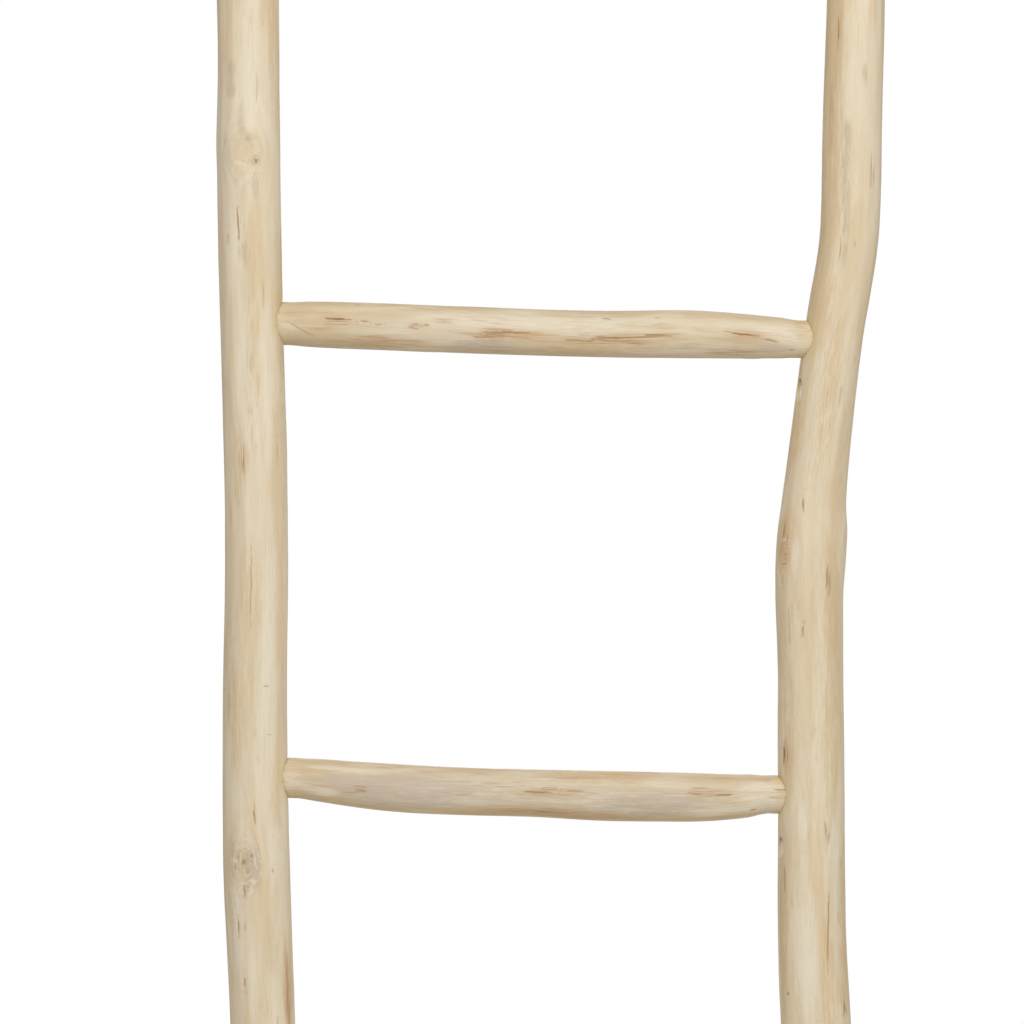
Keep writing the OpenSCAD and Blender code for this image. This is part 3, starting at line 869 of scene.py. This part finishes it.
def wood_streaks(s, grain, base, streaked):
    """Thin brown streaks, which come in groups and where there is a brown stain."""
    stain = s.field("stain_brown")
    group = s.spread(s.noise(grain, 5, 50, 2.0), 0.46, 0.66)
    chance = s.math("MAXIMUM", s.times(group, streaked), stain)
    soft = s.math("MULTIPLY_ADD", stain, 0.10, s.noise(grain, 2.2, 34, 3.0, 0.6))
    patch = s.times(s.spread(soft, 0.45, 0.68, 0.0, 0.45), chance)
    base = s.mix(patch, base, (200, 161, 115))
    for across, along, share in ((0.9, 36, 0.60), (0.55, 24, 0.60)):
        lines = s.math("MULTIPLY_ADD", stain, 0.06, s.noise(grain, across, along, 3.0, 0.6))
        lines = s.spread(lines, 0.54, 0.63, 0.0, share)
        base = s.mix(s.times(lines, chance), base, (166, 126, 86))
    return base


def wood_knots(s, grain, base):
    """A tan patch, wavering rings, a cream rim and a dark heart."""
    place = s.add("SeparateXYZ", {0: s.field("knot", vector=True)}).node
    dark = place.outputs[2]
    flat = s.add("CombineXYZ", {0: place.outputs[0], 1: place.outputs[1]})
    round_it = s.add("VectorMath", {0: flat}, output=1, operation="LENGTH")
    waver = s.spread(s.noise(grain, 8, 9, 2.0), 0.2, 0.8, -0.75, 0.75)
    away = s.math("MULTIPLY_ADD", waver, s.spread(round_it, 0.0, 0.6, 0.3, 1.0), round_it)
    patch = s.times(s.spread(away, 2.0, 0.8), dark)
    base = s.mix(s.times(patch, 0.30), base, (206, 184, 150))
    inside = s.times(s.spread(away, 1.5, 1.0), dark)
    broken = s.spread(s.noise(grain, 3, 5, 2.0), 0.40, 0.60)
    rings = s.times(s.spread(s.math("SINE", s.times(away, 11.0)), -0.2, 1.0), broken)
    base = s.mix(s.times(rings, inside, 0.40), base, (184, 154, 116))
    rim = s.times(s.spread(s.math("ABSOLUTE", s.math("SUBTRACT", away, 1.25)), 0.20, 0.03), dark)
    base = s.mix(s.times(rim, broken, 0.9), base, (231, 222, 203))
    heart = s.times(s.spread(away, 0.40, 0.10), s.spread(dark, 0.5, 1.0))
    return s.mix(s.times(heart, 0.85), base, (116, 82, 54))


def wood_checks(s, grain, base):
    """Thin lines that taper and waver, with a warm stain beside them. Gives the lines as well."""
    place = s.add("SeparateXYZ", {0: s.field("check", vector=True)}).node
    size = s.add("SeparateXYZ", {0: s.field("check_size", vector=True)}).node
    dark = place.outputs[2]
    wander = s.spread(s.noise(grain, 30, 9, 2.0), 0.2, 0.8, -0.4, 0.4)
    across = s.math("ABSOLUTE", s.math("ADD", place.outputs[0], wander))
    along = s.math("DIVIDE", s.math("ABSOLUTE", place.outputs[1]), size.outputs[0])
    ragged = s.spread(s.noise(grain, 0.8, 6, 2.0), 0.25, 0.75, -0.45, 0.45)
    taper = s.spread(s.math("ADD", along, ragged), 1.15, 0.35)
    width = s.times(size.outputs[1], s.math("MULTIPLY_ADD", taper, 0.8, 0.2))
    line = s.math("DIVIDE", s.math("SUBTRACT", s.math("ADD", width, 0.20), across), 0.35, clamp=True)
    line = s.times(line, taper, dark)
    beside = s.times(s.spread(across, 2.0, 0.2), s.times(taper, dark))
    base = s.mix(s.times(beside, 0.45), base, (203, 166, 122))
    tint = s.mix(dark, (194, 150, 102), (142, 98, 62))
    return s.mix(s.times(line, 0.95), base, tint), line


def wood_cuts(s, grain, base):
    """Fresh wood in the sockets and pockets, made paler with painted light; the glue's tint round a joint;
    and painted shade as a dark line along it.
    """
    # Cut walls in sockets and pockets: the pale colour of fresh wood, brightened further with painted light
    # so that a shaded pocket wall looks lit.
    fresh_and_lit_wall = s.spread(s.field("depth"), 1.0, 2.5, 0.0, 0.9)
    base = s.mix(fresh_and_lit_wall, base, (246, 236, 220))
    seam = s.math("ADD", s.field("seam"), s.spread(s.noise(grain, 3, 3, 3.0), 0.3, 0.7, -0.6, 0.6))
    base = s.mix(s.spread(seam, 6.0, 1.0, 0.0, 0.40), base, (213, 195, 150))
    # Painted shade: a darker line right along each joint, standing in for the shade in the crevice where
    # rung and stile meet.
    return s.mix(s.spread(seam, 1.0, 0.1, 0.0, 0.30), base, (156, 126, 84))


def end_grain(name):
    """A sawn end: growth rings round an off-centre pith, rays, saw marks and a few radial checks."""
    s = Shading(name)
    place = s.add("NewGeometry", {}, output="Position")
    pith = (2, -3, 0)  # mm from the branch's centre line
    ring_gap = 1.7  # mm
    from_pith = s.add("VectorMath", {0: s.field("from_middle", vector=True), 1: pith}, operation="SUBTRACT")
    wobble = s.noise(place, 12 * MM, 12 * MM, 2.0)
    away = s.add("VectorMath", {0: from_pith}, output=1, operation="LENGTH")
    away = s.math("MULTIPLY_ADD", wobble, 3.0, away)
    rings = s.math("SINE", s.times(away, 2 * math.pi / ring_gap))
    base = s.mix(s.spread(rings, -0.2, 1.0), (226, 206, 170), (192, 157, 114))
    base = s.mix(s.times(s.spread(away, 11.0, 2.0), 0.35), base, (168, 128, 88))
    axes = s.add("SeparateXYZ", {0: from_pith}).node
    turn = s.math("ARCTAN2", axes.outputs[0], axes.outputs[1])
    fine_turn = s.add("CombineXYZ", {0: s.times(turn, 14.0), 1: s.times(away, 0.09)})
    rays = s.spread(s.noise(fine_turn, 1, 1, 2.0), 0.60, 0.72, 0.0, 0.25)
    base = s.mix(rays, base, (150, 112, 76))
    wide_turn = s.add("CombineXYZ", {0: s.times(turn, 3.2), 1: s.times(away, 0.025)})
    splits = s.spread(s.noise(wide_turn, 1, 1, 1.0), 0.69, 0.71, 0.0, 0.8)
    base = s.mix(splits, base, (92, 62, 40))
    saw = s.noise(place, 1.1 * MM, 1.1 * MM, 2.0)
    roughness = s.spread(saw, 0.3, 0.7, 0.7, 0.9)
    relief = s.bump(saw, 0.3 * MM, 0.5)
    return s.coat({"Base Color": base, "Roughness": roughness, "Specular IOR Level": 0.2, "Normal": relief})


def zinc(name):
    """Zinc-plated steel with a faint yellow cast and dull patches."""
    s = Shading(name)
    place = s.add("NewGeometry", {}, output="Position")
    patches = s.noise(place, 1.6 * MM, 1.6 * MM, 3.0, 0.6)
    base = s.mix(s.spread(patches, 0.35, 0.65), (206, 206, 200), (176, 172, 158))
    roughness = s.spread(patches, 0.3, 0.7, 0.28, 0.46)
    relief = s.bump(s.noise(place, 0.4 * MM, 0.4 * MM, 2.0), 0.05 * MM, 0.4)
    return s.coat({"Base Color": base, "Roughness": roughness, "Metallic": 1.0, "Normal": relief})


# -------- the object

def build_stile(side, branch, rungs, screws, wood, ends):
    marks = Marks(branch, checks=50, stains=34, seed=11 if side == "left" else 23)
    piece = stile_mesh(branch, marks, rungs, side)
    cut(piece, tenon_cutters(rungs, side) + [pocket_cutter(screw) for screw in screws])
    points = read_vectors(piece.data.vertices)
    from_seam = np.minimum(from_sockets(points, rungs, side), FAR_FROM_SEAM)
    add_fields(piece, branch, marks, from_seam)
    finish_mesh(piece, branch, wood, ends)
    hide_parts(branch.name)
    return piece


def build_rung(number, branch, stiles, screws, wood, ends):
    marks = Marks(branch, checks=22, stains=12, seed=40 + 9 * number)
    piece = rung_mesh(branch, marks)
    cut(piece, [pocket_cutter(screw) for screw in screws])
    points = read_vectors(piece.data.vertices)
    from_seam = np.full(len(points), FAR_FROM_SEAM)
    for stile in stiles:
        along, bearing, away = stile.find(points)
        from_seam = np.minimum(from_seam, np.abs(away - stile.radius(along, bearing)))
    add_fields(piece, branch, marks, from_seam)
    finish_mesh(piece, branch, wood, ends)
    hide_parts(branch.name)
    return piece


def build_rack():
    stiles = [stile_branch(name) for name in STILES]
    rungs = [rung_branch(name) for name in RUNGS]
    screws = {side: [Screw(f"{side}_screw_{k + 1}") for k in range(len(RUNGS))] for side in SIDES}
    stile_wood = peeled_wood("peeled_stile_wood", (223, 210, 184), (215, 195, 162), streaked=0.14)
    rung_wood = peeled_wood("peeled_rung_wood", (215, 201, 174), (205, 184, 151), streaked=0.55)
    ends = end_grain("sawn_end_grain")
    pieces = []
    for side, stile in zip(SIDES, stiles):
        pieces.append(build_stile(side, stile, rungs, screws[side], stile_wood, ends))
    for k, rung in enumerate(rungs):
        pair = [screws[side][k] for side in SIDES]
        pieces.append(build_rung(k + 1, rung, stiles, pair, rung_wood, ends))
    steel = zinc("zinc_plated_steel")
    for side in SIDES:
        for k in range(len(RUNGS)):
            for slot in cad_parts[f"{side}_screw_{k + 1}"].material_slots:
                slot.material = steel
    for piece in pieces:
        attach(piece, "root")


# -------- the studio

def add_light(name, place, aim, size, power, tint):
    lamp = bpy.data.lights.new(name, "AREA")
    lamp.shape = "RECTANGLE"
    lamp.size, lamp.size_y = size
    lamp.energy = power
    lamp.color = tint
    light = add_object(name, lamp)
    light.location = place
    light.rotation_euler = (aim - Vector(place)).to_track_quat("-Z", "Y").to_euler()
    light.visible_camera = False


def build_world(ambient):
    """White behind the object, and a dimmer even light all round it."""
    world = bpy.data.worlds.new("studio")
    bpy.context.scene.world = world
    world.use_nodes = True
    tree = world.node_tree
    seen = tree.nodes["Background"]
    seen.inputs["Color"].default_value = (1, 1, 1, 1)
    lit = tree.nodes.new("ShaderNodeBackground")
    lit.inputs["Color"].default_value = (1.0, 0.99, 0.97, 1)
    lit.inputs["Strength"].default_value = ambient
    path = tree.nodes.new("ShaderNodeLightPath")
    pick = tree.nodes.new("ShaderNodeMixShader")
    tree.links.new(path.outputs["Is Camera Ray"], pick.inputs["Fac"])
    tree.links.new(lit.outputs["Background"], pick.inputs[1])
    tree.links.new(seen.outputs["Background"], pick.inputs[2])
    tree.links.new(pick.outputs["Shader"], tree.nodes["World Output"].inputs["Surface"])


def build_floor():
    """A round pale floor, small enough to stay out of a level view of the rack's middle."""
    sides = 96
    radius = 1.1
    angles = [2 * math.pi * k / sides for k in range(sides)]
    ring = [(radius * math.cos(angle), radius * math.sin(angle), 0) for angle in angles]
    mesh = bpy.data.meshes.new("floor")
    mesh.from_pydata(ring, [], [range(sides)])
    paint = {"Base Color": colour(232, 231, 228), "Roughness": 0.9}
    mesh.materials.append(Shading("floor_paint").coat(paint))
    add_object("floor", mesh)


def build_camera():
    """Level with the rack's middle, as far out as shows the two rungs between which it looks."""
    low, high = cad_box
    third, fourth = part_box("rung_3"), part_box("rung_4")
    between = (third[0].z + third[1].z + fourth[0].z + fourth[1].z) / 4
    shown_width = 0.689
    distance = 4.0
    left_of_middle, above_rungs = 0.026, 0.032
    camera = add_object("camera", bpy.data.cameras.new("camera"))
    camera.data.sensor_width = 36
    camera.data.lens = 36 * distance / shown_width
    camera.location = ((low.x + high.x) / 2 - left_of_middle, -distance, between + above_rungs)
    camera.rotation_euler = (math.pi / 2, 0, 0)
    bpy.context.scene.camera = camera


def build_studio():
    aim = Vector((0, 0, 0.9))
    build_world(ambient=0.48)
    build_floor()
    add_light("key", (0.9, -2.0, 2.05), aim, (1.6, 1.6), 28, (1.0, 0.985, 0.96))
    add_light("fill", (-0.8, -2.0, 2.0), aim, (1.2, 1.2), 14, (0.98, 0.99, 1.0))
    add_light("back", (0.0, 2.4, 1.3), aim, (0.8, 1.2), 30, (1.0, 0.98, 0.95))
    bpy.context.scene.view_settings.view_transform = "Standard"


build_camera()
build_studio()
build_rack()
